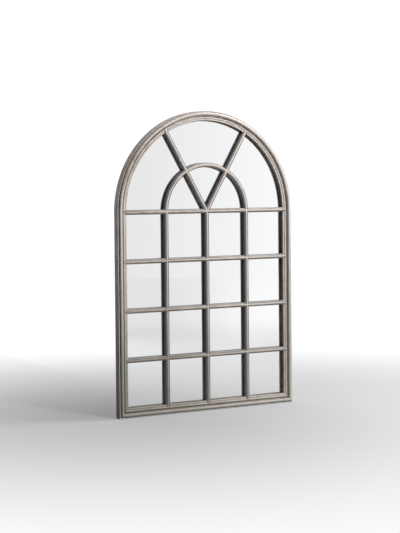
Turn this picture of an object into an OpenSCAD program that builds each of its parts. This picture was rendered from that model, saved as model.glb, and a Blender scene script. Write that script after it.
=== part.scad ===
// Window mirror: an arched frame with a grille of glazing bars over one sheet of silvered glass.
// Every piece is drawn lying on its back: x to the right, y up the window, z from the wall
// to the room. on_wall() then stands it up, so that the wall is the plane Y = 0, the room is
// at -Y, and the origin is the centre of the arched head on the wall.

/* [Overall size] */
// Width over the outer edges, also the diameter of the arched head
width = 900; // [780:10:1100]
// Height from the foot to the crown
height = 1350; // [1200:10:1700]
// Straight leg of the head below the springline
head_leg = 40; // [30:1:50]

/* [Frame moulding] */
// Height of the outer roll's crest above the wall
frame_depth = 45; // [43:0.5:50]
// Radius of the outer roll
roll_r = 9; // [8:0.5:10]
// Width of the bead on the outer edge
edge_bead_w = 2.8; // [2:0.2:4]
// Height of the edge bead's top above the wall
edge_bead_top = 36.8; // [35:0.2:39]
// Width of the quirk between the edge bead and the roll
quirk_w = 1.2; // [0.8:0.1:2]
// Height of the quirk's floor above the wall
quirk_floor = 33; // [32:0.5:34]
// Width of the valley between the roll and the reeds
valley_w = 2; // [1.5:0.5:3]
// Height of the valley's floor above the wall
valley_floor = 31; // [30:0.5:32]
// Radius of the reed beside the valley
reed_r = 6.5; // [6:0.5:7]
// Height of that reed's crest above the wall
reed_top = 36; // [35:0.5:37]
// Radius of the reed at the sight edge
sight_reed_r = 6; // [5:0.5:6.5]
// Height of the sight reed's crest above the wall
sight_reed_top = 33.5; // [33:0.5:35]
// How far the two reeds run into each other
reed_overlap = 4; // [2:0.5:5]

/* [Glazing bars] */
// Width of a bar
bar_w = 21; // [18:0.5:23]
// Height of a bar's crest above the wall
bar_top = 38; // [37:0.5:40]
// How far a bar's end reaches past the sight reed's crest
bar_over = 10; // [9:0.5:11]
// Length of the tapered tip at that end
tip_l = 14; // [13:0.5:14.5]
// How much the nose's radius falls along that tip
tip_ease = 1; // [0.6:0.1:1.2]
// How far the arch's crest lies below the straight bars' crests
arch_drop = 0.3; // [0.2:0.1:0.6]
// How far the slanting bars' crests lie below the arch's crest
slant_drop = 0.3; // [0.2:0.1:0.6]
// Slope of the slanting bars, from level
slant_angle = 60; // [50:1:65]

/* [Panel] */
// Thickness of the glass
glass_t = 4; // [3:0.5:5]
// Thickness of the cushion sheet behind the glass
cushion_t = 2; // [1:0.5:3]
// Thickness of the back board
board_t = 9; // [8.5:0.5:10]
// Width of the ledge that the glass lies against
glass_ledge = 8; // [6:0.5:10]
// Gap beside the glass and the cushion sheet
glass_gap = 2; // [1:0.5:3]
// Gap beside the back board
board_gap = 0.5; // [0.3:0.1:1]
// Width of the thinned rim round the back board
board_rim_w = 12; // [10:1:16]
// Distance of that rim's back from the wall
board_rim_in = 3; // [2.5:0.5:4]

/* [Joints] */
// Length of a biscuit
biscuit_l = 35; // [30:1:38]
// Width of a biscuit
biscuit_w = 13; // [10:1:14]
// Thickness of a biscuit
biscuit_t = 4; // [3:0.5:4]
// How much is cut off each pointed end of a biscuit
biscuit_tip = 1.5; // [1:0.5:2.5]
// Diameter of the dowel at a bar's end
dowel_d = 5; // [4:0.5:6]
// Length of that dowel
dowel_l = 24; // [20:1:28]
// Clearance round biscuits, dowels, points and screws
fit_gap = 0.1; // [0.05:0.05:0.2]

/* [Board points] */
// Length of a point, half of it in the frame and half over the board
point_l = 16; // [12:1:18]
// Width of a point
point_w = 8; // [6:0.5:10]
// Thickness of a point
point_t = 0.6; // [0.4:0.1:0.8]
// Length of a point's tapered tip
point_tip = 4; // [3:0.5:5]
// Points in each stile
stile_points = 4; // [2:1:6]
// Points in the bottom rail
rail_points = 4; // [2:1:6]
// Points in each half of the head
head_points = 3; // [2:1:5]
// Distance from a hanger strap's foot down to the first point in the stile
point_below_strap = 45; // [30:1:60]
// Distance from the mirror's foot up to the last point in the stile
point_above_foot = 100; // [80:1:120]
// Angle of the head's first point above the springline
head_first_angle = 15; // [12:1:20]
// Angle from the head's first point to its last
head_span_angle = 62; // [50:1:66]

/* [Hangers] */
// Distance from the springline down to the rings' axis
hanger_drop = 110; // [95:1:200]
// Distance of a hanger's centre line from the frame's outer edge
hanger_line = 18.5; // [17.5:0.5:19.5]
// Diameter of the ring's wire
wire_d = 3; // [2.5:0.5:3]
// Width of the ring's eye
eye_w = 18; // [17:0.5:18.5]
// Straight part of the ring's legs, from its axis to the bow
ring_leg = 5; // [4.5:0.5:7]
// Bend radius at the ring's two corners, on the wire's centre line
ring_bend = 3; // [2.5:0.5:3]
// Depth of the recess that a strap lies in
strap_seat = 9; // [8:0.5:10]
// Width of the strap
strap_w = 14; // [12:0.5:14]
// Thickness of the strap
strap_t = 1.5; // [1.2:0.1:1.6]
// Length of the strap below the ring's axis
strap_l = 46; // [44:1:56]
// Running clearance between the ring and the strap's knuckle, on the radius
ring_gap = 0.06; // [0.03:0.01:0.1]
// Distance from the ring's axis to the first strap screw
first_screw = 23; // [22:0.5:24]
// Distance between the two strap screws
screw_pitch = 15; // [12:0.5:16]
// Length of a strap screw
strap_screw_l = 16; // [12:1:20]
// Diameter of its shank
shank_d = 4; // [3:0.5:4.5]
// Radius of its blunt tip
screw_tip_r = 0.4; // [0.3:0.1:0.6]
// Diameter of a strap screw's head
strap_head_d = 7.2; // [6.5:0.1:7.5]
// Height of a strap screw's head
strap_head_h = 2.2; // [2:0.1:2.6]
// Height of the straight rim of that head
strap_rim_h = 1.3; // [1:0.1:1.5]
// How far the head's top is drawn in from its rim
strap_head_slope = 0.9; // [0.6:0.1:1.2]
// Length of the cross slots in a strap screw's head
strap_slot_l = 4; // [3.4:0.2:4.4]
// Depth of the cross slots in a strap screw's head
strap_slot_h = 1.2; // [1:0.1:1.5]
// Width of a cross slot
slot_w = 0.9; // [0.7:0.1:1.1]
// Room beside the ring in its recess, and below the strap
recess_gap = 2; // [1.5:0.1:2.2]
// Room for a hook above the ring
hook_room = 16; // [12:1:24]
// How much deeper the recess is behind the ring
pocket_depth = 6; // [5:0.5:7]
// Distance from the strap's knuckle to that deeper pocket
pocket_rim = 0.25; // [0.2:0.05:0.5]
// Corner radius of the recess
recess_corner = 4; // [3:0.5:5]

/* [Hidden] */
$fn = 96;

pewter = [0.64, 0.62, 0.58];
bare_wood = [0.72, 0.58, 0.40];
board_brown = [0.55, 0.42, 0.29];
card_grey = [0.60, 0.60, 0.58];
silvered = [0.90, 0.92, 0.93];
zinc = [0.72, 0.73, 0.75];

// Extra length of a cutting tool past the face that it leaves
past = 1;
// Room outside the frame that a mitre's cutting tool takes with it
mitre_over = 10;

// The head is a half circle, so the straight part is what is left of the height
head_r = width / 2;
straight_h = height - head_r;

// The moulding's section, from the outer edge in
roll_u = edge_bead_w + quirk_w + roll_r;
reeds_from = roll_u + roll_r + valley_w;
reed_u = reeds_from + reed_r;
face_w = reeds_from + 2 * reed_r + 2 * sight_reed_r - reed_overlap;
sight_reed_u = face_w - sight_reed_r;
edge_bead_z = edge_bead_top - edge_bead_w / 2;
roll_z = frame_depth - roll_r;
reed_z = reed_top - reed_r;
sight_reed_z = sight_reed_top - sight_reed_r;
rebate_u = face_w - glass_ledge;

// Layers of the panel, from the wall
cushion_z = board_t;
glass_z = cushion_z + cushion_t;
glass_front = glass_z + glass_t;

// The grille: every pane of the straight part has the same width and the same height
nose_r = bar_w / 2;
nose_z = bar_top - nose_r;
lap_z = (glass_front + bar_top) / 2;
pitch_x = (head_r - face_w + nose_r) / 2;
rows = 4;
pitch_y = (straight_h - face_w + nose_r) / rows;
side_bars = [-1, 0, 1];
rails_y = [for (k = [0 : rows - 1]) -k * pitch_y];

// The middle of the face, where the biscuits and dowels lie
joint_u = face_w / 2;
biscuit_z = (glass_front + valley_floor) / 2;
dowel_z = (glass_front + sight_reed_z) / 2;
sight_r = head_r - face_w;

// The hangers lie in recesses in the stiles' backs
hanger_x = head_r - hanger_line;
hanger_y = -hanger_drop;
bore_r = wire_d / 2 + ring_gap;
knuckle_r = bore_r + strap_t;
axis_z = strap_seat - knuckle_r;
ring_r = (eye_w + wire_d) / 2;
ring_top = ring_leg + ring_r + wire_d / 2;
recess_w = 2 * ring_r + wire_d + 2 * recess_gap;
pocket_from = knuckle_r + pocket_rim;
strap_end_r = strap_w / 2;

module on_wall() {
    rotate([90, 0, 0]) children();
}

module half_disc(r) {
    intersection() {
        circle(r = r);
        translate([-r, 0]) square([2 * r, r]);
    }
}

module round_rect(w, h, r) {
    translate([-w / 2 + r, 0]) square([w - 2 * r, h]);
    translate([-w / 2, r]) square([w, h - 2 * r]);
    for (x = [-w / 2 + r, w / 2 - r]) {
        for (y = [r, h - r]) {
            translate([x, y]) circle(r = r);
        }
    }
}

// Section of the frame: x is the distance from the outer edge, y the height above the wall
module frame_section() {
    square([rebate_u, glass_front]);
    translate([0, glass_front]) square([face_w, sight_reed_z - glass_front]);
    translate([0, sight_reed_z]) square([reed_u, valley_floor - sight_reed_z]);
    translate([0, valley_floor]) square([edge_bead_w, edge_bead_z - valley_floor]);
    translate([edge_bead_w / 2, edge_bead_z]) half_disc(edge_bead_w / 2);
    translate([edge_bead_w, valley_floor]) square([quirk_w, quirk_floor - valley_floor]);
    translate([roll_u - roll_r, valley_floor]) square([2 * roll_r, roll_z - valley_floor]);
    translate([roll_u, roll_z]) half_disc(roll_r);
    translate([reeds_from, sight_reed_z]) square([2 * reed_r, reed_z - sight_reed_z]);
    translate([reed_u, reed_z]) half_disc(reed_r);
    translate([sight_reed_u, sight_reed_z]) half_disc(sight_reed_r);
}

// Section of a glazing bar, standing on the glass, centred on x = 0
module bar_section(drop = 0) {
    translate([-nose_r, glass_front]) square([bar_w, nose_z - drop - glass_front]);
    translate([0, nose_z - drop]) half_disc(nose_r);
}

// Left-hand moulding between two heights
module side_run(low, high) {
    translate([-head_r, high, 0]) rotate([90, 0, 0]) linear_extrude(high - low) frame_section();
}

module foot_run(from_x, to_x) {
    translate([from_x, -straight_h, 0]) rotate([90, 0, 90]) linear_extrude(to_x - from_x) frame_section();
}

module head_run(angle) {
    rotate_extrude(angle = angle) translate([head_r, 0]) mirror([1, 0]) frame_section();
}

// A bar along +x from the origin
module bar_run(length, drop = 0) {
    rotate([90, 0, 90]) linear_extrude(length) bar_section(drop);
}

// The tapered tip of a bar, which carries the nose on along +x from the origin
module bar_tip(drop = 0) {
    translate([0, 0, nose_z - drop])
        rotate([0, 90, 0])
        rotate([0, 0, 90])
        rotate_extrude(angle = 180)
        polygon([[0, 0], [nose_r, 0], [nose_r - tip_ease, tip_l], [0, tip_l]]);
}

module slab(from, to, low, high, z_from, z_to) {
    translate([from, low, z_from]) cube([to - from, high - low, z_to - z_from]);
}

// Biscuits: centre and direction of each joint line
function mitre_joint(side) = [side * (head_r - joint_u), -straight_h + joint_u, 90 + side * 45];
function leg_joint(side) = [side * (head_r - joint_u), -head_leg, 0];
crown_joint = [0, head_r - joint_u, 90];

module at_joint(joint, z) {
    translate([joint[0], joint[1], z]) rotate([0, 0, joint[2]]) children();
}

module biscuit_shape(gap) {
    arc_r = (pow(biscuit_l, 2) + pow(biscuit_w, 2)) / (4 * biscuit_w);
    half_l = biscuit_l / 2 - biscuit_tip + gap;
    intersection() {
        translate([0, arc_r - biscuit_w / 2 - gap]) circle(r = arc_r);
        translate([0, -arc_r + biscuit_w / 2 + gap]) circle(r = arc_r);
        translate([-half_l, -biscuit_w]) square([2 * half_l, 2 * biscuit_w]);
    }
}

module biscuit(joint, gap = 0) {
    at_joint(joint, biscuit_z - biscuit_t / 2 - gap) linear_extrude(biscuit_t + 2 * gap) biscuit_shape(gap);
}

// Dowels: centre on the sight line and direction of the bar
function side_dowel(side, y) = [side * sight_r, y, 0];
function foot_dowel(i) = [i * pitch_x, -straight_h + face_w, 90];
function slant_direction(side) = 90 - side * (90 - slant_angle);
function slant_dowel(side) = [
    sight_r * cos(slant_direction(side)), sight_r * sin(slant_direction(side)), slant_direction(side)
];

module dowel(place, gap = 0) {
    at_joint(place, dowel_z) rotate([0, 90, 0])
        cylinder(d = dowel_d + 2 * gap, h = dowel_l + 2 * gap, center = true);
}

// Board points: each place is on the rebate's wall, with the direction into the window
points_top = hanger_y - strap_l - point_below_strap;
points_foot = -straight_h + point_above_foot;
stile_point_y = [
    for (k = [0 : stile_points - 1]) points_top + (points_foot - points_top) * k / (stile_points - 1)
];
rail_pitch = (width - 2 * face_w) / rail_points;
rail_point_x = [for (k = [0 : rail_points - 1]) (k + 0.5 - rail_points / 2) * rail_pitch];
head_point_angle = [
    for (k = [0 : head_points - 1]) head_first_angle + head_span_angle * k / (head_points - 1)
];

function stile_point(side, y) = [side * (head_r - rebate_u), y, 90 + side * 90];
function rail_point(x) = [x, -straight_h + rebate_u, 90];
function head_point(side, angle) = [
    side * (head_r - rebate_u) * cos(angle), (head_r - rebate_u) * sin(angle), 270 - side * (90 - angle)
];

// A flat steel point, driven into the rebate's wall so that it lies on the board's rim
module board_point(place, gap = 0) {
    half_w = point_w / 2 + gap;
    end = point_l / 2;
    shoulder = point_tip - end;
    tip = -end - 2 * gap;
    at_joint(place, board_rim_in - point_t - gap)
        linear_extrude(point_t + 2 * gap)
        polygon([[end, -half_w], [end, half_w], [shoulder, half_w], [tip, 0], [shoulder, -half_w]]);
}

// A recess routed in the frame's back, from a height above the ring's axis up to the hook's room
module hanger_recess(low, depth) {
    translate([0, low, -past])
        linear_extrude(depth + past)
        round_rect(recess_w, ring_top + hook_room - low, recess_corner);
}

// Everything bored or cut into one stile's back for its hanger
module hanger_cuts(side) {
    translate([side * hanger_x, hanger_y, 0]) {
        hanger_recess(-strap_l - recess_gap, strap_seat);
        hanger_recess(pocket_from, strap_seat + pocket_depth);
        for (k = [0, 1]) {
            translate([0, -first_screw - k * screw_pitch, strap_seat - past])
                cylinder(d = shank_d + 2 * fit_gap, h = strap_screw_l + past);
        }
    }
}

module mitre_cut(keep_stile) {
    reach = face_w + mitre_over;
    outer = keep_stile ? [reach, -mitre_over] : [-mitre_over, reach];
    translate([-head_r, -straight_h, -past])
        linear_extrude(frame_depth + 2 * past)
        polygon([[-mitre_over, -mitre_over], [reach, reach], outer]);
}

module stile() {
    difference() {
        side_run(-straight_h, -head_leg);
        mitre_cut(true);
        biscuit(mitre_joint(-1), fit_gap);
        biscuit(leg_joint(-1), fit_gap);
        for (k = [1 : rows - 1]) {
            dowel(side_dowel(-1, rails_y[k]), fit_gap);
        }
        for (y = stile_point_y) {
            board_point(stile_point(-1, y), fit_gap);
        }
        hanger_cuts(-1);
    }
}

module left_stile() {
    color(pewter) on_wall() stile();
}

module right_stile() {
    color(pewter) mirror([1, 0, 0]) on_wall() stile();
}

module bottom_rail() {
    color(pewter) on_wall() difference() {
        foot_run(-head_r, head_r);
        mitre_cut(false);
        mirror([1, 0, 0]) mitre_cut(false);
        biscuit(mitre_joint(-1), fit_gap);
        biscuit(mitre_joint(1), fit_gap);
        for (i = side_bars) {
            dowel(foot_dowel(i), fit_gap);
        }
        for (x = rail_point_x) {
            board_point(rail_point(x), fit_gap);
        }
    }
}

// Right-hand half of the head with its leg
module head_half() {
    difference() {
        union() {
            head_run(90);
            mirror([1, 0, 0]) side_run(-head_leg, 0);
        }
        biscuit(leg_joint(1), fit_gap);
        biscuit(crown_joint, fit_gap);
        dowel(side_dowel(1, 0), fit_gap);
        dowel(slant_dowel(1), fit_gap);
        for (a = head_point_angle) {
            board_point(head_point(1, a), fit_gap);
        }
    }
}

module head_right() {
    color(pewter) on_wall() head_half();
}

module head_left() {
    color(pewter) mirror([1, 0, 0]) on_wall() head_half();
}

module joint_biscuits() {
    color(bare_wood) on_wall() {
        biscuit(crown_joint);
        for (side = [-1, 1]) {
            biscuit(mitre_joint(side));
            biscuit(leg_joint(side));
        }
    }
}

// The grille's bars before they are cut to each other. Each tip lies over the two reeds.
tip_end_u = sight_reed_u - bar_over;
tip_from = head_r - tip_end_u - tip_l;

module upright_run(i) {
    low = -straight_h + tip_end_u + tip_l;
    translate([i * pitch_x, low, 0]) {
        rotate([0, 0, 90]) bar_run(nose_r - low);
        rotate([0, 0, -90]) bar_tip();
    }
}

module cross_run(k) {
    translate([-tip_from, rails_y[k], 0]) {
        bar_run(2 * tip_from);
        rotate([0, 0, 180]) bar_tip();
        translate([2 * tip_from, 0, 0]) bar_tip();
    }
}

module arch_run() {
    rotate_extrude(angle = 180) translate([pitch_x, 0]) bar_section(arch_drop);
}

module slant_run(side) {
    drop = arch_drop + slant_drop;
    rotate([0, 0, slant_direction(side)]) {
        translate([-bar_w, 0, 0]) bar_run(tip_from + bar_w, drop);
        translate([tip_from, 0, 0]) bar_tip(drop);
    }
}

// What an upright gives up to a cross bar: its front half, as wide as the cross bar. The
// topmost cut runs out of the upright's end.
module upright_gives(i, k) {
    x = i * pitch_x;
    low = rails_y[k] - nose_r;
    high = rails_y[k] + nose_r + (k == 0 ? past : 0);
    slab(x - nose_r - past, x + nose_r + past, low, high, lap_z, bar_top + past);
}

// What a cross bar gives up to an upright: its rear half, as wide as the upright
module cross_gives(i, k) {
    x = i * pitch_x;
    reach = nose_r + past;
    slab(x - nose_r, x + nose_r, rails_y[k] - reach, rails_y[k] + reach, glass_front - past, lap_z);
}

// The band along the arch where the slanting bars pass, front half only
module arch_band() {
    rotate_extrude()
        translate([pitch_x - nose_r, lap_z])
        square([bar_w, bar_top + past - lap_z]);
}

// The rear half of a slanting bar where it passes the arch
module slant_rear(side) {
    rotate([0, 0, slant_direction(side)])
        slab(pitch_x - bar_w, pitch_x + bar_w, -nose_r, nose_r, glass_front - past, lap_z);
}

module upright_bar(i) {
    color(pewter) on_wall() difference() {
        upright_run(i);
        foot_run(i * pitch_x - bar_w, i * pitch_x + bar_w);
        dowel(foot_dowel(i), fit_gap);
        for (k = [0 : rows - 1]) {
            upright_gives(i, k);
        }
    }
}

module upright_bar_left() {
    upright_bar(-1);
}

module upright_bar_centre() {
    upright_bar(0);
}

module upright_bar_right() {
    upright_bar(1);
}

module cross_bar(k) {
    color(pewter) on_wall() difference() {
        union() {
            cross_run(k);
            for (i = side_bars) {
                intersection() {
                    upright_run(i);
                    upright_gives(i, k);
                }
            }
        }
        for (i = side_bars) {
            cross_gives(i, k);
        }
        side_run(rails_y[k] - bar_w, rails_y[k] + bar_w);
        mirror([1, 0, 0]) side_run(rails_y[k] - bar_w, rails_y[k] + bar_w);
        dowel(side_dowel(-1, rails_y[k]), fit_gap);
        dowel(side_dowel(1, rails_y[k]), fit_gap);
    }
}

module cross_bar_upper() {
    cross_bar(1);
}

module cross_bar_middle() {
    cross_bar(2);
}

module cross_bar_lower() {
    cross_bar(3);
}

// The springline bar carries the noses of all that meets it: the uprights below its
// centre line, the arch and the slanting bars above it.
module springline_bar() {
    color(pewter) on_wall() difference() {
        union() {
            cross_run(0);
            intersection() {
                for (i = side_bars) {
                    upright_run(i);
                }
                slab(-head_r, head_r, -nose_r, 0, lap_z, bar_top + past);
            }
            intersection() {
                union() {
                    arch_run();
                    slant_run(-1);
                    slant_run(1);
                }
                slab(-head_r, head_r, 0, nose_r, lap_z, bar_top + past);
            }
        }
        for (i = side_bars) {
            cross_gives(i, 0);
        }
        head_run(180);
        side_run(-bar_w, 0);
        mirror([1, 0, 0]) side_run(-bar_w, 0);
        dowel(side_dowel(-1, 0), fit_gap);
        dowel(side_dowel(1, 0), fit_gap);
    }
}

// The arch stands on the springline bar and carries the slanting bars' noses where they cross
module arch_bar() {
    color(pewter) on_wall() difference() {
        union() {
            arch_run();
            intersection() {
                arch_band();
                union() {
                    slant_run(-1);
                    slant_run(1);
                }
            }
        }
        slab(-head_r, head_r, -head_r, nose_r, 0, frame_depth);
        slant_rear(-1);
        slant_rear(1);
    }
}

// The right-hand slanting bar: its foot stands on the springline bar, mitred to its neighbour
module slant_bar() {
    difference() {
        slant_run(1);
        slab(-head_r, head_r, -head_r, nose_r, 0, frame_depth);
        slab(-head_r, 0, 0, head_r, 0, frame_depth);
        arch_band();
        head_run(90);
        dowel(slant_dowel(1), fit_gap);
    }
}

module slant_bar_right() {
    color(pewter) on_wall() slant_bar();
}

module slant_bar_left() {
    color(pewter) mirror([1, 0, 0]) on_wall() slant_bar();
}

module bar_dowels() {
    color(bare_wood) on_wall() {
        for (side = [-1, 1]) {
            for (y = rails_y) {
                dowel(side_dowel(side, y));
            }
            dowel(slant_dowel(side));
        }
        for (i = side_bars) {
            dowel(foot_dowel(i));
        }
    }
}

// A sheet with an arched top, whose edge lies this far inside the frame's outer edge
module arched_sheet(inset) {
    r = head_r - inset;
    half_disc(r);
    translate([-r, -straight_h + inset]) square([2 * r, straight_h - inset]);
}

glass_inset = rebate_u + glass_gap;
board_inset = rebate_u + board_gap;

module mirror_glass() {
    color(silvered) on_wall()
        translate([0, 0, glass_z])
        linear_extrude(glass_t)
        arched_sheet(glass_inset);
}

module cushion_sheet() {
    color(card_grey) on_wall()
        translate([0, 0, cushion_z])
        linear_extrude(cushion_t)
        arched_sheet(glass_inset);
}

// The board is thinned along its edge, so that the points lie below its back
module back_board() {
    color(board_brown) on_wall() {
        linear_extrude(board_rim_in) arched_sheet(board_inset + board_rim_w);
        translate([0, 0, board_rim_in])
            linear_extrude(board_t - board_rim_in)
            arched_sheet(board_inset);
    }
}

module board_points() {
    color(zinc) on_wall() {
        for (side = [-1, 1]) {
            for (y = stile_point_y) {
                board_point(stile_point(side, y));
            }
            for (a = head_point_angle) {
                board_point(head_point(side, a));
            }
        }
        for (x = rail_point_x) {
            board_point(rail_point(x));
        }
    }
}

module cross_slots(length, depth) {
    translate([-length / 2, -slot_w / 2, -depth]) cube([length, slot_w, 2 * depth]);
    translate([-slot_w / 2, -length / 2, -depth]) cube([slot_w, length, 2 * depth]);
}

// The strap lies in the stile's recess and its knuckle goes round the ring's straight side
module hanger_strap(side) {
    color(zinc) on_wall() translate([side * hanger_x, hanger_y, 0]) difference() {
        union() {
            translate([0, 0, axis_z])
                rotate([0, 90, 0])
                cylinder(r = knuckle_r, h = strap_w, center = true);
            translate([0, 0, strap_seat - strap_t]) linear_extrude(strap_t) {
                translate([-strap_w / 2, -strap_l + strap_end_r])
                    square([strap_w, strap_l - strap_end_r - strap_t / 2]);
                translate([0, -strap_l + strap_end_r]) rotate(180) half_disc(strap_end_r);
            }
        }
        translate([0, 0, axis_z])
            rotate([0, 90, 0])
            cylinder(r = bore_r, h = strap_w + 2 * past, center = true);
        for (k = [0, 1]) {
            translate([0, -first_screw - k * screw_pitch, 0])
                cylinder(d = shank_d + 2 * fit_gap, h = strap_seat + past);
        }
    }
}

module hanger_strap_left() {
    hanger_strap(-1);
}

module hanger_strap_right() {
    hanger_strap(1);
}

module strap_screw() {
    rim_r = strap_head_d / 2;
    tip_h = shank_d / 2;
    difference() {
        union() {
            translate([0, 0, -strap_rim_h]) cylinder(r = rim_r, h = strap_rim_h);
            translate([0, 0, -strap_head_h])
                cylinder(r1 = rim_r - strap_head_slope, r2 = rim_r, h = strap_head_h - strap_rim_h);
            cylinder(d = shank_d, h = strap_screw_l - tip_h);
            translate([0, 0, strap_screw_l - tip_h])
                cylinder(r1 = shank_d / 2, r2 = screw_tip_r, h = tip_h - fit_gap);
        }
        translate([0, 0, -strap_head_h]) cross_slots(strap_slot_l, strap_slot_h);
    }
}

module hanger_screws() {
    color(zinc) on_wall() for (side = [-1, 1]) {
        for (k = [0, 1]) {
            y = hanger_y - first_screw - k * screw_pitch;
            translate([side * hanger_x, y, strap_seat - strap_t]) strap_screw();
        }
    }
}

module wire_bend(radius, angle) {
    rotate_extrude(angle = angle) translate([radius, 0]) circle(d = wire_d);
}

// The ring hangs on its straight side: two bends, two short legs and a half-round bow
module ring() {
    straight = 2 * (ring_r - ring_bend);
    rotate([0, 90, 0]) cylinder(d = wire_d, h = straight, center = true);
    for (side = [0, 1]) {
        mirror([side, 0, 0]) {
            translate([ring_r - ring_bend, ring_bend, 0])
                rotate([0, 0, -90])
                wire_bend(ring_bend, 90);
            translate([ring_r, ring_bend, 0])
                rotate([-90, 0, 0])
                cylinder(d = wire_d, h = ring_leg - ring_bend);
        }
    }
    translate([0, ring_leg, 0]) wire_bend(ring_r, 180);
}

module hanger_ring_left() {
    color(zinc) on_wall() translate([-hanger_x, hanger_y, axis_z]) ring();
}

module hanger_ring_right() {
    color(zinc) on_wall() translate([hanger_x, hanger_y, axis_z]) ring();
}

left_stile();
right_stile();
bottom_rail();
head_left();
head_right();
joint_biscuits();
upright_bar_left();
upright_bar_centre();
upright_bar_right();
springline_bar();
cross_bar_upper();
cross_bar_middle();
cross_bar_lower();
arch_bar();
slant_bar_left();
slant_bar_right();
bar_dowels();
mirror_glass();
cushion_sheet();
back_board();
board_points();
hanger_strap_left();
hanger_strap_right();
hanger_screws();
hanger_ring_left();
hanger_ring_right();
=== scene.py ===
# %% [markdown]
# # A window mirror in antique pewter
#
# The object is a wall mirror made like an arched window. A moulded wooden frame holds one sheet
# of silvered glass, and a grille of round-nosed glazing bars stands on the glass. All of that
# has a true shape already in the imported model, so this script adds what the model lacks: the
# finishes, the light, the floor and the camera.
#
# The cells follow the order of the work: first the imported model, then a small helper for shader
# nodes, then one finish after another, and the studio last.

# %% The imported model
import math
from collections import namedtuple

import bmesh
import bpy
from mathutils import Matrix, Vector


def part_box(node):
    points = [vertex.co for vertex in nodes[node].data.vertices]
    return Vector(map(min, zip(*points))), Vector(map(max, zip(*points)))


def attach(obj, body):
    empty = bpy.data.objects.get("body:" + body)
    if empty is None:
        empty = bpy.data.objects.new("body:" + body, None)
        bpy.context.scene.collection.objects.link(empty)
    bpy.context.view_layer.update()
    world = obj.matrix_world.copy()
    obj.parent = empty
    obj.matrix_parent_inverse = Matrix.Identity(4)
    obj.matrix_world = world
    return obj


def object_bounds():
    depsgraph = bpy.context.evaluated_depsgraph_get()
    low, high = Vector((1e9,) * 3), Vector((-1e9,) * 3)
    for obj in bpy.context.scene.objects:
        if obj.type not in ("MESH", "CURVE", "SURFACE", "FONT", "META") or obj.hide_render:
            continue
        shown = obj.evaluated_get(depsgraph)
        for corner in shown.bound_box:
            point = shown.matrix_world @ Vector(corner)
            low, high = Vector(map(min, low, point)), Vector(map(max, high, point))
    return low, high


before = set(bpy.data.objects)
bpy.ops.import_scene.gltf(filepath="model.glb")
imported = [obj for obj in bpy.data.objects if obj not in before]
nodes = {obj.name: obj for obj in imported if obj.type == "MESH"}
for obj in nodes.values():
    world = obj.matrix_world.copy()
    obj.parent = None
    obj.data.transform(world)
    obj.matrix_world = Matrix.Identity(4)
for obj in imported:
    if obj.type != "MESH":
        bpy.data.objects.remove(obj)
cad_low, cad_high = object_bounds()
print("pieces in the packed model:", len(nodes))
print("box, metres:", [round(v, 4) for v in cad_low], [round(v, 4) for v in cad_high])

# %% [markdown]
# ## Shader maths that reads like maths
#
# A material in Blender is a graph of nodes. Wiring each node by hand hides the idea behind a
# wall of links, so this small class wraps a socket and lets Python's own operators add the
# Math nodes. `1 - mask` then means just that, because the reflected operators are there too.
# Any other node comes from one method, `Graph.node`, which takes the node's type, its settings
# and what goes into its sockets.


# %% The socket wrapper
class Value:
    """A number that varies over a surface, held by a node's output."""

    def __init__(self, graph, socket):
        self.graph = graph
        self.socket = socket

    def __add__(self, other):
        return self.graph.maths("ADD", self, other)

    def __sub__(self, other):
        return self.graph.maths("SUBTRACT", self, other)

    def __rsub__(self, other):
        return self.graph.maths("SUBTRACT", other, self)

    def __mul__(self, other):
        return self.graph.maths("MULTIPLY", self, other)

    def __truediv__(self, other):
        return self.graph.maths("DIVIDE", self, other)

    def __rtruediv__(self, other):
        return self.graph.maths("DIVIDE", other, self)

    def __pow__(self, other):
        return self.graph.maths("POWER", self, other)

    def __neg__(self):
        return self.graph.maths("MULTIPLY", self, -1.0)

    def __abs__(self):
        return self.graph.maths("ABSOLUTE", self)

    __radd__ = __add__
    __rmul__ = __mul__


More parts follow.
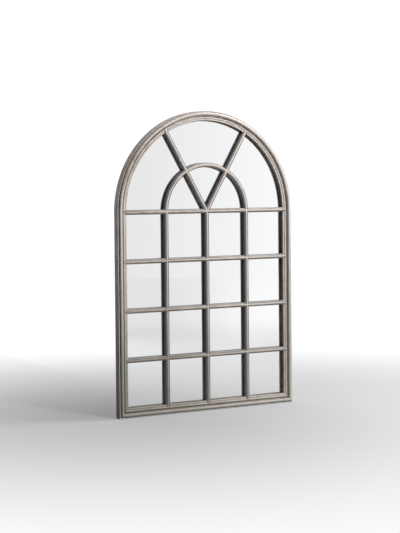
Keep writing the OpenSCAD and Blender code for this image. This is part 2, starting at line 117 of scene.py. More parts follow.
# %% The graph that holds the nodes
class Graph:
    """The nodes of one material, or of the world."""

    def __init__(self, owner):
        owner.use_nodes = True
        self.tree = owner.node_tree
        self.tree.nodes.clear()

    def node(self, kind, settings=None, inputs=None):
        """Adds a node: first its settings, then the values or links of its sockets."""
        made = self.tree.nodes.new(kind)
        for name, value in (settings or {}).items():
            setattr(made, name, value)
        for name, value in (inputs or {}).items():
            if isinstance(value, Value):
                self.tree.links.new(value.socket, made.inputs[name])
            elif isinstance(value, bpy.types.NodeSocket):
                self.tree.links.new(value, made.inputs[name])
            else:
                made.inputs[name].default_value = value
        return made

    def value(self, kind, output, settings=None, inputs=None):
        """One output of a new node, ready for maths."""
        return Value(self, self.node(kind, settings, inputs).outputs[output])

    def maths(self, operation, *terms):
        inputs = dict(enumerate(terms))
        return self.value("ShaderNodeMath", 0, {"operation": operation}, inputs)

    def mix(self, share, first, second):
        """A colour that goes from first to second as share goes from 0 to 1."""
        settings = {"data_type": "RGBA"}
        inputs = {0: share, 6: first, 7: second}
        return self.value("ShaderNodeMix", 2, settings, inputs)

    def ramp(self, value, low, high):
        """0 below low and 1 above high, with a smooth rise between them."""
        settings = {"interpolation_type": "SMOOTHSTEP"}
        inputs = {"Value": value, "From Min": low, "From Max": high}
        return self.value("ShaderNodeMapRange", "Result", settings, inputs)

    def fall(self, value, low, high):
        """1 below low and 0 above high."""
        return 1 - self.ramp(value, low, high)

    def band(self, value, rise, drop):
        """1 between a rise and a drop, each given by its two limits, and 0 outside them."""
        return self.ramp(value, *rise) * self.fall(value, *drop)

    def largest(self, first, *others):
        for other in others:
            first = self.maths("MAXIMUM", first, other)
        return first

    def point(self, x, y, z):
        inputs = {"X": x, "Y": y, "Z": z}
        return self.value("ShaderNodeCombineXYZ", "Vector", None, inputs)

    def noise(self, point, scale, detail=2.0, roughness=0.5):
        inputs = {"Vector": point, "Scale": scale, "Detail": detail, "Roughness": roughness}
        return self.value("ShaderNodeTexNoise", "Fac", None, inputs)

    def bump(self, height, strength, distance):
        """The normal of a surface with fine relief. The distance is in metres."""
        inputs = {"Strength": strength, "Distance": distance, "Height": height}
        return self.node("ShaderNodeBump", None, inputs).outputs["Normal"]

    def principled(self, inputs):
        """Ends the material with one Principled shader."""
        shader = self.node("ShaderNodeBsdfPrincipled", None, inputs)
        self.node("ShaderNodeOutputMaterial", None, {"Surface": shader.outputs["BSDF"]})


def split(graph, vector):
    """The three coordinates of a vector."""
    parts = graph.node("ShaderNodeSeparateXYZ", None, {"Vector": vector})
    return [Value(graph, parts.outputs[axis]) for axis in "XYZ"]


# %% [markdown]
# ## Where a point lies on the mirror
#
# Paint that was brushed and rubbed by hand follows the moulding: streaks run along each piece,
# and the dark glaze stays in its hollows. So the finish needs two things at every point: how
# far along the piece it lies, and how far across. Both come from the object coordinates, which
# are metres in the model's own frame, with no unwrapping.
#
# Around the head the frame turns about the origin. Taking the height as zero below the
# springline makes one formula serve the head and the stiles.


# %% Coordinates along and across each kind of piece
HALF_WIDTH = cad_high.x
FOOT = cad_low.z


class Place:
    """Where a surface point lies: along the piece, across it, and out from the wall.

    Front is 1 where the surface faces the room, 0 on a side, and -1 where it faces the wall.
    Right is 1 where the surface faces right.
    """

    def __init__(self, graph, run):
        coordinates = graph.node("ShaderNodeTexCoord")
        self.position = coordinates.outputs["Object"]
        self.x, y, self.z = split(graph, self.position)
        self.out = -y
        faces = split(graph, coordinates.outputs["Normal"])
        self.right, self.front = faces[0], -faces[1]
        self.along, self.across = run(graph, self)


def radius_and_angle(graph, place, height):
    radius = (place.x * place.x + height * height) ** 0.5
    angle = graph.maths("ARCTAN2", height, place.x)
    return radius, angle


def along_frame(graph, place):
    """Up the stiles and round the head. Across is the distance from the outer edge."""
    above = graph.maths("MAXIMUM", place.z, 0.0)
    below = graph.maths("MINIMUM", place.z, 0.0)
    radius, angle = radius_and_angle(graph, place, above)
    return angle * HALF_WIDTH + below, HALF_WIDTH - radius


def along_foot(graph, place):
    return place.x, place.z - FOOT


def upright(graph, place):
    return place.z, place.x


def level(graph, place):
    return place.x, place.z


def along_arch(graph, place):
    radius, angle = radius_and_angle(graph, place, place.z)
    return angle * radius, radius


SLANT_DEGREES = 60


def slanting(side):
    """A run that leans out to one side by the slanting bars' slope."""
    slope = math.radians(SLANT_DEGREES)
    run_x, run_z = side * math.cos(slope), math.sin(slope)

    def run(graph, place):
        return place.x * run_x + place.z * run_z, place.x * run_z - place.z * run_x

    return run


# %% The start of each material
def start_material(name, run=level):
    """A new material, its graph, and the place of its surface points."""
    material = bpy.data.materials.new(name)
    graph = Graph(material)
    return material, graph, Place(graph, run)


def dress(names, material):
    """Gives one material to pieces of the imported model."""
    for name in names:
        nodes[name].data.materials.clear()
        nodes[name].data.materials.append(material)
    print(material.name, "on", ", ".join(names))


def stretched(graph, place, x, out, z):
    """A point for a noise, with so many of the noise's cells per metre along each axis."""
    return graph.point(place.x * x, place.out * out, place.z * z)


def varied(middle, mask, span):
    """A value that a mask moves about its middle, by half the span each way."""
    return middle + (mask - 0.5) * span


# %% [markdown]
# ## Antique pewter paint
#
# The real finish is a metallic paint, between silver and warm grey, over wood. A brown glaze
# was wiped over it. It stays in the grooves, and comes off the crests, which shine. Fine
# streaks from the wiping run along each piece, and a few dark flecks are spattered on. A
# texture picture could hold all that, but it would need unwrapping and would blur up close.
# Here every effect is a mask worked out from the place on the moulding, and a few tones are
# mixed by those masks. Some masks paint light and shade into the colour: a painted highlight on
# the crests and the bead, and painted shade in the grooves, on slopes and flanks, beside the
# bars' noses, at their feet, in the creases, on the left and towards the foot.

# %% The tones of the paint
# Painted highlight on rubbed paint: the bright tone of crests that face the room
CREST_RUB_AND_HIGHLIGHT = (0.740, 0.690, 0.640, 1.0)
FACE = (0.420, 0.374, 0.328, 1.0)
# Brown glaze, which also lies where the masks paint shade
BROWN = (0.200, 0.145, 0.105, 1.0)
# Near black: glaze in the grooves, and painted shade there and in creases, rims and bar feet
GLAZE_AND_SHADE = (0.062, 0.063, 0.066, 1.0)
# Painted shade: the cool grey of surfaces that face sideways
FLANK_SHADE = (0.200, 0.204, 0.218, 1.0)
# Painted shade: a dark olive tone towards the foot and the left
LOW_SHADE = (0.150, 0.143, 0.108, 1.0)
# Painted highlight: the pale tone of the bead on the frame's edge
BEAD_HIGHLIGHT = (0.700, 0.710, 0.740, 1.0)
FLECK = (0.030, 0.026, 0.022, 1.0)
RAW_WOOD = (0.560, 0.410, 0.255, 1.0)
RAW_WOOD_DARK = (0.380, 0.250, 0.140, 1.0)

# %% What a wear-and-shade function finds at a point, each from 0 to 1
# dark: glaze and painted shade; crest: rubbed, with a painted highlight; flank: painted shade; bead: a
# painted highlight
WearAndShade = namedtuple("WearAndShade", "dark crest flank bead")

# %% [markdown]
# ## Wear on the frame
#
# From its edge inwards the moulding has a thin bead, a quirk, a large roll, a valley and two
# reeds. The glaze lies in the quirk, in the valley, between the reeds and at the inner edge,
# made darker there as painted shade, and thinly on the side wall. Painted shade lies thinly on
# the steep slopes. The roll and the reeds are rubbed bright where they face the room, with a
# painted highlight there. The bead on the edge has a painted highlight, the brightest. The head
# has less glaze and painted shade in its quirk than the stiles have, and a veil of painted shade
# on its left half.

# %% The moulding's grooves: centre and reach in metres, then the glaze and painted shade on the stiles and the head
Groove = namedtuple("Groove", "centre reach on_stile on_head")
GROOVES = (
    Groove(0.0046, 0.0018, 1.00, 0.50),
    Groove(0.0254, 0.0028, 0.85, 0.75),
    Groove(0.0361, 0.0014, 0.60, 0.60),
    Groove(0.0446, 0.0026, 0.65, 0.65),
)
EVEN_PART = 0.35


def groove_glaze_and_shade(graph, place, on_head):
    """The glaze and painted shade in each groove: even in its middle part, and 0 on the rolls and
    reeds.
    """
    deepest = 0.0
    for groove in GROOVES:
        away = abs(place.across - groove.centre)
        inside = graph.fall(away, groove.reach * EVEN_PART, groove.reach)
        glaze = groove.on_stile + on_head * (groove.on_head - groove.on_stile)
        deepest = graph.largest(deepest, inside * glaze)
    return deepest


# %% Where each kind of wear and painted light on the frame starts and ends: metres, or how far it faces the room
HEAD_HEIGHTS = (-0.05, 0.20)
UPPER_LEFT_X = (-0.40, -0.05)
BEAD_OUT = (0.0340, 0.0350)
BEAD_ACROSS = (0.0026, 0.0034)
SIDE_ACROSS = (0.0004, 0.0010)
SLOPE_FRONT = (0.30, 0.70)
ROLL_FRONT = (0.68, 0.95)

# %% How much glaze and painted shade the frame holds outside its grooves, and what they take away
SIDE_GLAZE = 0.34
SLOPE_SHADE = 0.30
UPPER_LEFT_SHADE = 0.45
UPPER_LEFT_DULLS = 0.35
HEAD_DULLS_BEAD = 0.7
BEAD_CLEARS_DARK = 0.8


def frame_wear_and_shade(graph, place):
    """Glaze and painted shade in the grooves, glaze on the side, painted shade on the slopes and the
    head's left half, rubbed crests with a painted highlight, and a painted highlight on the bead.
    """
    on_head = graph.ramp(place.z, *HEAD_HEIGHTS)
    # Painted shade over the head's left half, which also dims its crest highlight
    upper_left = on_head * graph.fall(place.x, *UPPER_LEFT_X)
    # A painted highlight on the bead, dimmer on the head
    bead = graph.ramp(place.out, *BEAD_OUT) * graph.fall(place.across, *BEAD_ACROSS)
    bead = bead * (1 - on_head * HEAD_DULLS_BEAD)

    grooves = groove_glaze_and_shade(graph, place, on_head)
    side = graph.fall(place.across, *SIDE_ACROSS) * SIDE_GLAZE
    # Painted shade on surfaces that turn away from the room
    slope = graph.fall(place.front, *SLOPE_FRONT) * SLOPE_SHADE
    dark = graph.largest(grooves, side, slope) * (1 - bead * BEAD_CLEARS_DARK)
    dark = graph.largest(dark, upper_left * UPPER_LEFT_SHADE)
    # Rubbed crests, with a painted highlight where the surface faces the room
    crest = graph.ramp(place.front, *ROLL_FRONT) * (1 - upper_left * UPPER_LEFT_DULLS)
    return WearAndShade(dark, crest, flank=0.0, bead=bead)


# %% [markdown]
# ## Wear on the bars
#
# A bar's round nose has a crest with a painted highlight between two thin brown lines of
# painted shade. The line on its right is part of a wider dark rim of painted shade. Its flanks,
# down to the glass, are a plain grey painted as shade, and painted shade gathers at their foot.
# Where a level bar crosses an upright, painted shade lies in the two diagonal creases. Each mask
# comes from the way that the surface faces, so the lines follow the nose by themselves, also
# round the arch.

# %% The bars that run straight
UPRIGHTS = ["upright_bar_left", "upright_bar_centre", "upright_bar_right"]
LEVELS = ["springline_bar", "cross_bar_upper", "cross_bar_middle", "cross_bar_lower"]

# %% Where each kind of wear and painted light on a bar starts and ends: how far it faces the room or the right
LINE_RISE = (0.80, 0.88)
LINE_DROP = (0.94, 0.98)
NOSE_FRONT = (0.93, 0.98)
FLANK_FRONT = (0.66, 0.84)
RIM_RIGHT = (0.12, 0.36)

# %% The bar's foot, out from the wall in metres, and how much painted shade each of these holds
BAR_FOOT_OUT = (0.0150, 0.0190)
BAR_FOOT_SHADE = 0.90
RIM_SHADE = 0.95
LINE_SHADE = 0.60
LEVEL_LINE_SHADE = 0.75


def bar_wear_and_shade(graph, place, line_shade=LINE_SHADE):
    """Painted highlight on the crest; painted shade in two thin brown lines, the right rim, grey flanks
    to the glass and the foot.
    """
    # Thin brown lines of painted shade on each side of the crest
    line = graph.band(place.front, LINE_RISE, LINE_DROP) * line_shade
    # Painted shade along the nose's right side
    rim = graph.ramp(place.right, *RIM_RIGHT) * RIM_SHADE
    # Painted shade where the bar stands on the glass
    foot = graph.fall(place.out, *BAR_FOOT_OUT) * BAR_FOOT_SHADE
    # The crest, with a painted highlight
    crest = graph.ramp(place.front, *NOSE_FRONT)
    # Painted shade on the flanks
    flank = graph.fall(place.front, *FLANK_FRONT)
    return WearAndShade(graph.largest(line, rim, foot), crest, flank, bead=0.0)


# %% The creases where bars cross, darkened as painted shade: half width, and reach from an upright's middle, in metres
CREASE_HALF_WIDTH = (0.0004, 0.0024)
CREASE_RISE = (0.0030, 0.0085)
CREASE_DROP = (0.0110, 0.0150)
CREASE_SHADE = 0.8
FAR_AWAY = 1.0


def nearest_bar(graph, position, names, axis):
    """The distance to the middle line of the nearest named bar, along one axis."""
    nearest = FAR_AWAY
    for name in names:
        low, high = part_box(name)
        away = abs(position - (low[axis] + high[axis]) / 2)
        nearest = graph.maths("MINIMUM", nearest, away)
    return nearest


def crease_shade(graph, place):
    """The painted shade on the diagonals where a level bar's nose meets an upright's, mostly outside.
    """
    away_x = nearest_bar(graph, place.x, UPRIGHTS, 0)
    away_z = nearest_bar(graph, place.z, LEVELS, 2)
    diagonal = graph.fall(abs(away_x - away_z), *CREASE_HALF_WIDTH)
    return diagonal * graph.band(away_x, CREASE_RISE, CREASE_DROP) * CREASE_SHADE


# %% The bars that cross: a level bar also has a veil of painted shade that thins out to the right
VEIL_X = (-HALF_WIDTH, 0.40)
VEIL_SHADE = 0.40
VEIL_DULLS = 0.5


def upright_wear_and_shade(graph, place):
    """A bar's wear and painted light, with painted shade in the creases."""
    wear_and_shade = bar_wear_and_shade(graph, place)
    return wear_and_shade._replace(dark=graph.largest(wear_and_shade.dark, crease_shade(graph, place)))


def level_wear_and_shade(graph, place):
    """A bar's wear and painted light, with a veil of painted shade towards the left, and painted shade
    in the creases.
    """
    wear_and_shade = bar_wear_and_shade(graph, place, LEVEL_LINE_SHADE)
    # A veil of painted shade, darkest on the left, that also dims the crest's highlight
    veil = graph.fall(place.x, *VEIL_X)
    dark = graph.largest(wear_and_shade.dark, veil * VEIL_SHADE, crease_shade(graph, place))
    return wear_and_shade._replace(dark=dark, crest=wear_and_shade.crest * (1 - veil * VEIL_DULLS))


# %% [markdown]
# ## The paint that the wear and the painted light work on
#
# The paint starts as a plain face tone. The masks then lay the other tones over it, one by one:
# crests, rubbed and with a painted highlight; brown glaze, which carries painted shade too; an
# olive painted shade that grows towards the foot and the left; grey painted shade on the flanks;
# the deepest glaze and painted shade; the painted highlight on the bead; and the flecks. Bare
# wood comes last, where no paint ever went. Metal and roughness follow the same masks, because
# glaze is duller than bare pewter, and the painted shade is made just as dull.

# %% Streaks along the piece, in noise cells per metre, and flecks
STREAKS_ALONG = 7.0
STREAKS_ACROSS = 210.0
FLECKS_PER_METRE = 38.0
FLECK_RADIUS = (0.0007, 0.0015)
FLECK_CHANCE = (0.90, 0.93)


def wiping_streaks(graph, place):
    """Fine streaks along the piece, from 0 to 1."""
    across = place.across * STREAKS_ACROSS
    drawn_out = graph.point(place.along * STREAKS_ALONG, across, place.out * STREAKS_ACROSS)
    return graph.ramp(graph.noise(drawn_out, scale=1.0, detail=3.0, roughness=0.55), 0.30, 0.70)


def spattered_flecks(graph, place):
    """1 on a few dark flecks, each in a cell of its own."""
    inputs = {"Vector": place.position, "Scale": FLECKS_PER_METRE}
    cells = graph.node("ShaderNodeTexVoronoi", None, inputs)
    chance = split(graph, cells.outputs["Color"])[0]
    from_centre = Value(graph, cells.outputs["Distance"]) / FLECKS_PER_METRE
    return graph.fall(from_centre, *FLECK_RADIUS) * graph.ramp(chance, *FLECK_CHANCE)


# %% Bare wood: the opening's edge and the rebate's depth in metres, and what faces the wall
INSIDE_ACROSS = (0.0010, 0.0012)
REBATE_OUT = (0.0147, 0.0149)
WALL_SIDE = (0.6, 0.8)


def bare_share(graph, place):
    """1 where the wood was never painted: the back, the rebates and the hangers' pockets."""
    faces_wall = graph.ramp(-place.front, *WALL_SIDE)
    inside = graph.ramp(place.across, *INSIDE_ACROSS) * graph.fall(place.out, *REBATE_OUT)
    return graph.largest(faces_wall, inside)


# %% How much of each tone its mask lets through
CREST_SHARE = 0.90
BROWN_SHARE = 0.85
LOW_SHARE = 0.60
FLANK_SHARE = 0.85
GLAZE_AND_SHADE_SHARE = 0.95
BEAD_SHARE = 0.70

# %% What makes the masks uneven, and where the brown, the glaze with its painted shade and the olive painted shade start and end
STREAKS_IN_CREST = 0.5
STREAKS_IN_BROWN = 0.6
STREAKS_IN_GLAZE_AND_SHADE = 0.2
CLOUDS_IN_BROWN = 1.2
DARK_IN_BROWN = 0.9
BROWN_FROM = (0.10, 0.80)
GLAZE_AND_SHADE_FROM = (0.50, 0.90)
LOW_HEIGHTS = (FOOT, FOOT + 0.75)
LOW_LOST_RIGHT = 0.7


def paint_tone(graph, place, wear_and_shade, streaks):
    """The tones of the paint, one over the other."""
    clouds = graph.noise(place.position, scale=26.0, detail=5.0, roughness=0.62)
    # Crests: rubbed paint with a painted highlight
    tone = graph.mix(varied(wear_and_shade.crest * CREST_SHARE, streaks, STREAKS_IN_CREST), FACE, CREST_RUB_AND_HIGHLIGHT)
    # The brown glaze follows the dark masks, so it carries painted shade as well
    brown_glaze_and_shade = varied(wear_and_shade.dark * DARK_IN_BROWN, clouds, CLOUDS_IN_BROWN)
    brown_glaze_and_shade = varied(brown_glaze_and_shade, streaks, STREAKS_IN_BROWN)
    tone = graph.mix(graph.ramp(brown_glaze_and_shade, *BROWN_FROM) * BROWN_SHARE, tone, BROWN)
    to_right = graph.ramp(place.x, -HALF_WIDTH, HALF_WIDTH)
    # Olive painted shade towards the foot, less on the right
    low = graph.fall(place.z, *LOW_HEIGHTS) * (1 - to_right * LOW_LOST_RIGHT)
    tone = graph.mix(low * LOW_SHARE, tone, LOW_SHADE)
    # Painted shade on the flanks
    tone = graph.mix(wear_and_shade.flank * FLANK_SHARE, tone, FLANK_SHADE)
    # The deepest glaze, and painted shade in hollows, creases, rims and bar feet
    deep = graph.ramp(varied(wear_and_shade.dark, streaks, STREAKS_IN_GLAZE_AND_SHADE), *GLAZE_AND_SHADE_FROM)
    tone = graph.mix(deep * GLAZE_AND_SHADE_SHARE, tone, GLAZE_AND_SHADE)
    # A painted highlight on the bead
    return graph.mix(wear_and_shade.bead * BEAD_SHARE, tone, BEAD_HIGHLIGHT)


# %% Metal, roughness and relief: the clean paint's values, and what glaze, painted shade and the rest change
PAINT_METAL = 0.65
DARK_HIDES_METAL = 0.35
BEAD_HIDES_METAL = 0.8
FLANK_HIDES_METAL = 0.5
PAINT_ROUGHNESS = 0.36
DARK_ROUGHENS = 0.16
STREAKS_ROUGHEN = 0.09
BARE_ROUGHENS = 0.3
STREAK_RELIEF = 0.6
GRAIN_RELIEF = 0.4


def pewter(name, run, wear_and_shade_on):
    """Pewter paint whose streaks follow one kind of run, with one kind of wear and painted light."""
    material, graph, place = start_material(name, run)
    wear_and_shade = wear_and_shade_on(graph, place)
    streaks = wiping_streaks(graph, place)
    fleck = spattered_flecks(graph, place)
    bare = bare_share(graph, place)

    tone = graph.mix(fleck, paint_tone(graph, place, wear_and_shade, streaks), FLECK)
    tone = graph.mix(bare, tone, graph.mix(streaks, RAW_WOOD_DARK, RAW_WOOD))
    metal = (1 - graph.largest(bare, fleck)) * (PAINT_METAL - wear_and_shade.dark * DARK_HIDES_METAL)
    metal = metal * (1 - wear_and_shade.bead * BEAD_HIDES_METAL) * (1 - wear_and_shade.flank * FLANK_HIDES_METAL)
    roughness = varied(PAINT_ROUGHNESS + wear_and_shade.dark * DARK_ROUGHENS, streaks, STREAKS_ROUGHEN)
    grain = graph.noise(place.position, scale=900.0, detail=3.0, roughness=0.6)
    relief = streaks * STREAK_RELIEF + grain * GRAIN_RELIEF
    graph.principled({
        "Base Color": tone,
        "Metallic": metal,
        "Roughness": roughness + bare * BARE_ROUGHENS,
        "Specular IOR Level": 0.35,
        "Normal": graph.bump(relief, strength=0.25, distance=0.0004),
    })
    return material


# %% [markdown]
# ## Which piece gets which run
#
# The same paint goes on every painted piece. Only the direction of the streaks and the kind of
# wear and painted light differ, so one table pairs them with the pieces.

# %% The paint on the frame and the bars
painted = {
    "pewter_frame": (along_frame, frame_wear_and_shade, ["left_stile", "right_stile", "head_left", "head_right"]),
    "pewter_foot": (along_foot, frame_wear_and_shade, ["bottom_rail"]),
    "pewter_upright": (upright, upright_wear_and_shade, UPRIGHTS),
    "pewter_level": (level, level_wear_and_shade, LEVELS),
    "pewter_arch": (along_arch, bar_wear_and_shade, ["arch_bar"]),
    "pewter_slant_left": (slanting(-1), bar_wear_and_shade, ["slant_bar_left"]),
    "pewter_slant_right": (slanting(1), bar_wear_and_shade, ["slant_bar_right"]),
}
for name, (run, wear_and_shade_on, pieces) in painted.items():
    dress(pieces, pewter(name, run, wear_and_shade_on))

# %% [markdown]
# ## Silvered glass
#
# A mirror is clear glass with silver on its back, so what it shows starts behind the glass.
# Where a bar stands on the glass, its reflection begins two thicknesses deeper, and the dark
# band beside the bar grows by that much. A metal surface at the front would lose this, so the
# sheet is real glass, and the silver is a piece of its own. It lies a hair inside the sheet's
# back face, because two faces in the very same plane would fight for each ray.

# %% Glass and silver
CLEAR_GLASS = (0.990, 0.993, 0.995, 1.0)
GLASS_IOR = 1.52
SILVER_DULL = (0.940, 0.940, 0.945, 1.0)
SILVER_BRIGHT = (0.960, 0.960, 0.965, 1.0)


def float_glass():
    """Clear glass with a trace of blue."""
    material = bpy.data.materials.new("float_glass")
    Graph(material).principled({
        "Base Color": CLEAR_GLASS,
        "Roughness": 0.0,
        "IOR": GLASS_IOR,
        "Transmission Weight": 1.0,
    })
    return material


def silvering():
    """Polished silver with wide, barely visible clouds."""
    material, graph, place = start_material("silvering")
    clouds = graph.noise(place.position, scale=3.0, detail=2.0)
    graph.principled({
        "Base Color": graph.mix(clouds, SILVER_DULL, SILVER_BRIGHT),
        "Metallic": 1.0,
        "Roughness": 0.0,
    })
    return material


# %% The film's outline and thickness
FILM_INSET = 0.0002
FILM_FROM_BACK = 0.00005
FILM_THICKNESS = 0.00002
HEAD_STEPS = 128


def arched_outline(low, high, inset):
    """The corners of the foot, then the half circle from right to left, as x and z."""
    radius = high.x - inset
    points = [(-radius, low.z + inset), (radius, low.z + inset)]
    for step in range(HEAD_STEPS + 1):
        angle = math.pi * step / HEAD_STEPS
        points.append((radius * math.cos(angle), radius * math.sin(angle)))
    return points


def arched_film(name, low, high):
    """A thin closed sheet just in front of the glass's back face."""
    back = high.y - FILM_FROM_BACK
    shape = bmesh.new()
    outline = arched_outline(low, high, FILM_INSET)
    face = shape.faces.new([shape.verts.new((x, back - FILM_THICKNESS, z)) for x, z in outline])
    grown = bmesh.ops.extrude_face_region(shape, geom=[face])
    pushed = [part for part in grown["geom"] if isinstance(part, bmesh.types.BMVert)]
    bmesh.ops.translate(shape, verts=pushed, vec=(0.0, FILM_THICKNESS, 0.0))
    bmesh.ops.recalc_face_normals(shape, faces=shape.faces)
    mesh = bpy.data.meshes.new(name)
    shape.to_mesh(mesh)
    shape.free()
    made = bpy.data.objects.new(name, mesh)
    bpy.context.scene.collection.objects.link(made)
    return made


# %% The sheet and its silver
dress(["mirror_glass"], float_glass())
glass_low, glass_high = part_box("mirror_glass")
film = arched_film("silver_film", glass_low, glass_high)
film.data.materials.append(silvering())
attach(film, "mirror")
print("silver film faces:", len(film.data.polygons))

# %% [markdown]
# ## The back: fibreboard, card, beech and zinc
#
# Nothing of the back shows from the room, but a part is looked at from all sides. The board is
# raw fibreboard: fine pressed fibres with soft darker clouds. The card behind the glass is grey
# and flecked. Biscuits and dowels are beech, with short dark pores along the grain. Screws,
# straps and rings are steel with bright zinc plate, which has a faint cloudy bloom.

# %% Raw fibreboard
FIBRE_DARK = (0.245, 0.150, 0.083, 1.0)
FIBRE_PALE = (0.395, 0.265, 0.160, 1.0)
FIBRE_CLOUD = (0.190, 0.112, 0.062, 1.0)
CLOUD_SHARE = 0.35


def fibreboard():
    """Pressed fibres that lie flat, longer across than up."""
    material, graph, place = start_material("raw_fibreboard")
    pressed = stretched(graph, place, x=260.0, out=900.0, z=700.0)
    fibres = graph.noise(pressed, scale=1.0, detail=5.0, roughness=0.7)
    mottle = graph.noise(place.position, scale=6.0, detail=3.0, roughness=0.5)
    clouds = graph.ramp(mottle, 0.35, 0.75) * CLOUD_SHARE
    graph.principled({
        "Base Color": graph.mix(clouds, graph.mix(fibres, FIBRE_DARK, FIBRE_PALE), FIBRE_CLOUD),
        "Roughness": varied(0.72, fibres, 0.25),
        "Specular IOR Level": 0.3,
        "Normal": graph.bump(fibres, strength=0.35, distance=0.0003),
    })
    return material


# %% Grey card
CARD_DARK = (0.26, 0.26, 0.25, 1.0)
CARD_PALE = (0.38, 0.38, 0.36, 1.0)


def grey_card():
    """Card of mixed pulp, with fine flecks."""
    material, graph, place = start_material("grey_card")
    flecks = graph.noise(place.position, scale=700.0, detail=4.0, roughness=0.7)
    graph.principled({
        "Base Color": graph.mix(graph.ramp(flecks, 0.35, 0.65), CARD_DARK, CARD_PALE),
        "Roughness": varied(0.80, flecks, 0.2),
        "Specular IOR Level": 0.3,
        "Normal": graph.bump(flecks, strength=0.3, distance=0.0002),
    })
    return material


# %% Beech
BEECH_DARK = (0.400, 0.245, 0.130, 1.0)
BEECH_PALE = (0.600, 0.420, 0.250, 1.0)
BEECH_PORE = (0.220, 0.120, 0.060, 1.0)
PORE_SHARE = 0.5


def beech():
    """Fine lines along the grain, with short dark pores."""
    material, graph, place = start_material("beech")
    long_grain = stretched(graph, place, x=60.0, out=500.0, z=500.0)
    short_grain = stretched(graph, place, x=300.0, out=2200.0, z=2200.0)
    lines = graph.noise(long_grain, scale=1.0, detail=4.0, roughness=0.6)
    pores = graph.ramp(graph.noise(short_grain, scale=1.0), 0.60, 0.68) * PORE_SHARE
    graph.principled({
        "Base Color": graph.mix(pores, graph.mix(lines, BEECH_DARK, BEECH_PALE), BEECH_PORE),
        "Roughness": varied(0.55, lines, 0.2),
        "Specular IOR Level": 0.35,
        "Normal": graph.bump(lines, strength=0.25, distance=0.0002),
    })
    return material


# %% Bright zinc plate
ZINC_BLUE = (0.560, 0.575, 0.590, 1.0)
ZINC_PALE = (0.730, 0.735, 0.725, 1.0)
BLOOM_ROUGHENS = 0.16


def zinc_plate():
    """Bright plate with a cloudy bloom and fine scratches."""
    material, graph, place = start_material("zinc_plate")
    bloom = graph.noise(place.position, scale=220.0, detail=3.0, roughness=0.6)
    drawn = stretched(graph, place, x=2600.0, out=2600.0, z=180.0)
    scratches = graph.noise(drawn, scale=1.0, detail=3.0)
    graph.principled({
        "Base Color": graph.mix(bloom, ZINC_BLUE, ZINC_PALE),
        "Metallic": 1.0,
        "Roughness": varied(0.24 + bloom * BLOOM_ROUGHENS, scratches, 0.08),
        "Normal": graph.bump(scratches, strength=0.15, distance=0.0001),
    })
    return material


# %% The finishes on the back's pieces
dress(["back_board"], fibreboard())
dress(["cushion_sheet"], grey_card())
dress(["joint_biscuits", "bar_dowels"], beech())
dress([name for name in nodes if name.startswith(("hanger_", "board_"))], zinc_plate())

# %% [markdown]
# ## Rays that look and rays that light
#
# A bright background would also light the mirror from all sides, and flatten its mouldings. A
# Light Path node helps, because it tells the rays apart. Rays from the camera, and those that
# the mirror passes on sharply, look at the background. Rays that left a rough surface carry
# light, and they get the studio's own light instead.


# %% Rays that look
def camera_ray(graph):
    return Value(graph, graph.node("ShaderNodeLightPath").outputs["Is Camera Ray"])


def looking(graph):
    """1 for rays from the camera, and for those that a mirror or clear glass passes on sharply."""
    rays = graph.node("ShaderNodeLightPath")

    def ray(name):
        return Value(graph, rays.outputs[name])

    bounced = graph.largest(ray("Is Glossy Ray"), ray("Is Transmission Ray"))
    spread = ray("Diffuse Depth") + graph.largest(ray("Glossy Depth") - 1, 0.0)
    sharp = ray("Is Singular Ray") * graph.maths("LESS_THAN", spread, 0.5)
    return graph.largest(ray("Is Camera Ray"), bounced * sharp)


# %% The bright room that the glass shows
def turns(*angles):
    """Angles given in degrees, as the radians that the nodes use."""
    return [math.radians(angle) for angle in angles]


SEEN_LEFT = 0.85
SEEN_RIGHT = 1.06
SEEN_RISE = turns(26, 36)


def seen_tone(graph, turn):
    """How bright the room looks towards a turn: a little darker to the left."""
    return graph.ramp(turn, *SEEN_RISE) * (SEEN_RIGHT - SEEN_LEFT) + SEEN_LEFT


# %% [markdown]
# ## The floor
#
# The floor is pale and carries the mirror's shadow. It is a wide disc at the mirror's foot. Far
# from the mirror it fades, so that no horizon line shows: for the camera to the white of the
# background, and for the glass, more slowly, to the tone of the room. It also glows a little
# for the rays that look, more so on the right, which keeps it pale without lighting the mirror.

# %% The floor's paint: its tone, its glow, and where the fades start and end, in metres
FLOOR_TONE = (0.23, 0.23, 0.23, 1.0)
GLOW_LEFT = 0.205
GLOW_MORE_RIGHT = 0.09
GLOW_X = (-0.4, 0.9)
FADE_IN_GLASS = (0.2, 4.6)
FADE_FOR_CAMERA = (0.3, 2.8)


def pale_floor():
    """Pale paint near the mirror, and the background's tone far from it."""
    material = bpy.data.materials.new("pale_floor")
    graph = Graph(material)
    x, y = split(graph, graph.node("ShaderNodeTexCoord").outputs["Object"])[:2]
    distance = (x * x + y * y) ** 0.5
    seen = looking(graph)
    from_camera = camera_ray(graph)
    in_glass = graph.ramp(distance, *FADE_IN_GLASS) * (1 - from_camera)
    for_camera = graph.ramp(distance, *FADE_FOR_CAMERA) * from_camera
    room = graph.largest(seen_tone(graph, graph.maths("ARCTAN2", x, -y)), from_camera)
    glow = seen * (GLOW_LEFT + graph.ramp(x, *GLOW_X) * GLOW_MORE_RIGHT)

    paint = graph.node("ShaderNodeBsdfDiffuse", None, {"Color": FLOOR_TONE})
    lift = graph.node("ShaderNodeEmission", None, {"Color": glow})
    near = graph.node("ShaderNodeAddShader", None, {0: paint.outputs[0], 1: lift.outputs[0]})
    far = graph.node("ShaderNodeEmission", None, {"Color": room})
    floor = graph.node("ShaderNodeMixShader", None, {
        0: (in_glass + for_camera) * seen, 1: near.outputs[0], 2: far.outputs[0],
    })
    graph.node("ShaderNodeOutputMaterial", None, {"Surface": floor.outputs[0]})
    return material


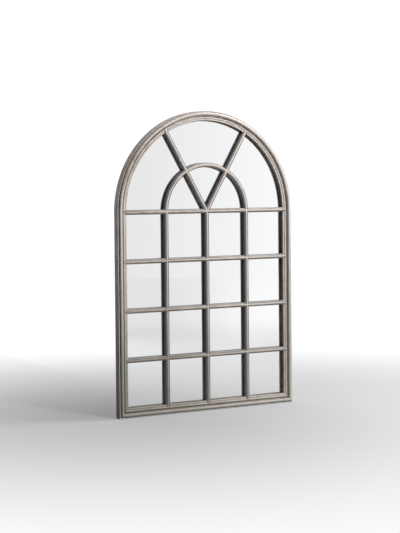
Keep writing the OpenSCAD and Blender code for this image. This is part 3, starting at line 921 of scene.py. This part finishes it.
# %% The floor, half a millimetre below the foot
FLOOR_RADIUS = 9.0
FLOOR_SIDES = 96
FLOOR_GAP = 0.0005


def disc(name, radius, sides, height):
    """A flat round sheet."""
    shape = bmesh.new()
    bmesh.ops.create_circle(shape, cap_ends=True, radius=radius, segments=sides)
    mesh = bpy.data.meshes.new(name)
    shape.to_mesh(mesh)
    shape.free()
    made = bpy.data.objects.new(name, mesh)
    made.location.z = height
    bpy.context.scene.collection.objects.link(made)
    return made


floor = disc("floor", FLOOR_RADIUS, FLOOR_SIDES, FOOT - FLOOR_GAP)
floor.data.materials.append(pale_floor())
print("floor at", round(floor.location.z, 4), "m")

# %% [markdown]
# ## The studio's light
#
# The bars' left flanks are almost black and their right sides are bright, so the light comes
# from the right. A picture of a real room could give that, but the world can do it by formula,
# which needs no file. It is white where the camera looks straight at it. For the rays that
# carry light it brightens from the front to the right, with more light from above and from
# behind, and a cool, dim left. Two lamps add what a smooth room lacks. A tall narrow key lamp,
# just right of the front, draws the fine highlight along each round nose. A square lamp high
# on the right lights the tops of the level bars.

# %% The room's brightness, and the turns and heights where its parts start and end
ROOM_DARK = 0.150
ROOM_BRIGHT = 0.72
ROOM_BEHIND = 0.60
RIGHT_RISE = turns(-15, 38)
RIGHT_DROP = turns(70, 120)
BEHIND_TURN = turns(115, 150)
ABOVE_UP = (0.20, 0.80)
ABOVE_RIGHT = (-0.6, 0.3)
ABOVE_LEFT_SHARE = 0.13
ABOVE_RIGHT_SHARE = 0.72


def room_light(graph, right_way, up_way, turn):
    """The light that the room sends from one way."""
    to_right = graph.band(turn, RIGHT_RISE, RIGHT_DROP)
    sides = graph.ramp(right_way, *ABOVE_RIGHT) * ABOVE_RIGHT_SHARE + ABOVE_LEFT_SHARE
    above = graph.ramp(up_way, *ABOVE_UP) * sides
    behind = graph.ramp(abs(turn), *BEHIND_TURN) * ROOM_BEHIND
    return graph.largest(graph.largest(to_right, above) * ROOM_BRIGHT, behind) + ROOM_DARK


# %% The world
COOL_TURN = turns(-60, -10)
COOL_UP = (0.0, 0.5)
WHITE = (1.0, 1.0, 1.0, 1.0)
COOL = (0.82, 0.90, 1.0, 1.0)

world = bpy.data.worlds.new("studio")
bpy.context.scene.world = world
sky = Graph(world)
right_way, back_way, up_way = split(sky, sky.node("ShaderNodeTexCoord").outputs["Generated"])
turn = sky.maths("ARCTAN2", right_way, -back_way)
straight = camera_ray(sky)
sharp = looking(sky)
strength = room_light(sky, right_way, up_way, turn) * (1 - sharp) + seen_tone(sky, turn) * sharp
cool = sky.fall(turn, *COOL_TURN) * sky.fall(up_way, *COOL_UP) * (1 - sharp) * (1 - straight)
backdrop = sky.node("ShaderNodeBackground", None, {
    "Color": sky.mix(cool, WHITE, COOL),
    "Strength": sky.largest(strength, straight),
})
sky.node("ShaderNodeOutputWorld", None, {"Surface": backdrop.outputs[0]})
print("nodes in the world:", len(sky.tree.nodes))


# %% The lamps
def soft_lamp(name, turn, rise, distance, width, height, power):
    """A lamp that looks at the mirror's middle from a turn and a rise in degrees."""
    turn, rise = turns(turn, rise)
    lamp = bpy.data.lights.new(name, "AREA")
    lamp.shape = "RECTANGLE"
    lamp.size = width
    lamp.size_y = height
    lamp.energy = power
    made = bpy.data.objects.new(name, lamp)
    middle = (cad_low + cad_high) / 2
    way = Vector((
        math.sin(turn) * math.cos(rise), -math.cos(turn) * math.cos(rise), math.sin(rise),
    ))
    made.location = middle + way * distance
    made.rotation_euler = (-way).to_track_quat("-Z", "Y").to_euler()
    made.visible_transmission = False
    made.visible_glossy = False
    bpy.context.scene.collection.objects.link(made)
    print(name, "lamp at", [round(v, 3) for v in made.location], "m,", power, "W")


soft_lamp("key", turn=10, rise=15, distance=3.0, width=0.5, height=1.7, power=80)
soft_lamp("top", turn=64, rise=50, distance=1.75, width=0.8, height=0.8, power=42)

# %% [markdown]
# ## The camera
#
# The camera was found by fitting a pinhole camera to the bars' crossings, the arches and the
# frame's edges in the photograph. It stands well to the left, a little above the springline,
# and looks down by one and a half degrees. A steeper look down would make the uprights lean,
# so the lens is shifted a little instead, as on a view camera.

# %% The photograph's viewpoint: angles in degrees, the place in metres
PICTURE_SIZE = (400, 533)
FOCAL_PIXELS = 1405.5
PRINCIPAL_ROW = 220.0
CAMERA_YAW = 29.902
CAMERA_PITCH = -1.491
CAMERA_ROLL = -0.540
CAMERA_PLACE = Vector((-3.1824, -5.5030, 0.1244))

yaw, pitch, roll = turns(CAMERA_YAW, CAMERA_PITCH, CAMERA_ROLL)
forward = Vector((
    math.sin(yaw) * math.cos(pitch),
    math.cos(yaw) * math.cos(pitch),
    math.sin(pitch),
))
level_right = Vector((math.cos(yaw), -math.sin(yaw), 0.0))
level_up = level_right.cross(forward)
right = level_right * math.cos(roll) + level_up * math.sin(roll)
up = level_up * math.cos(roll) - level_right * math.sin(roll)

# %% The lens and the camera
lens = bpy.data.cameras.new("camera")
lens.sensor_width = 36.0
lens.lens = lens.sensor_width * FOCAL_PIXELS / max(PICTURE_SIZE)
lens.shift_y = (PRINCIPAL_ROW - PICTURE_SIZE[1] / 2) / max(PICTURE_SIZE)
lens.clip_end = 100.0
camera = bpy.data.objects.new("camera", lens)
turned = Matrix((right, up, -forward)).transposed().to_4x4()
camera.matrix_world = Matrix.Translation(CAMERA_PLACE) @ turned
bpy.context.scene.collection.objects.link(camera)
bpy.context.scene.camera = camera
bpy.context.scene.view_settings.view_transform = "Standard"
print("lens", round(lens.lens, 2), "mm, shift", round(lens.shift_y, 4))
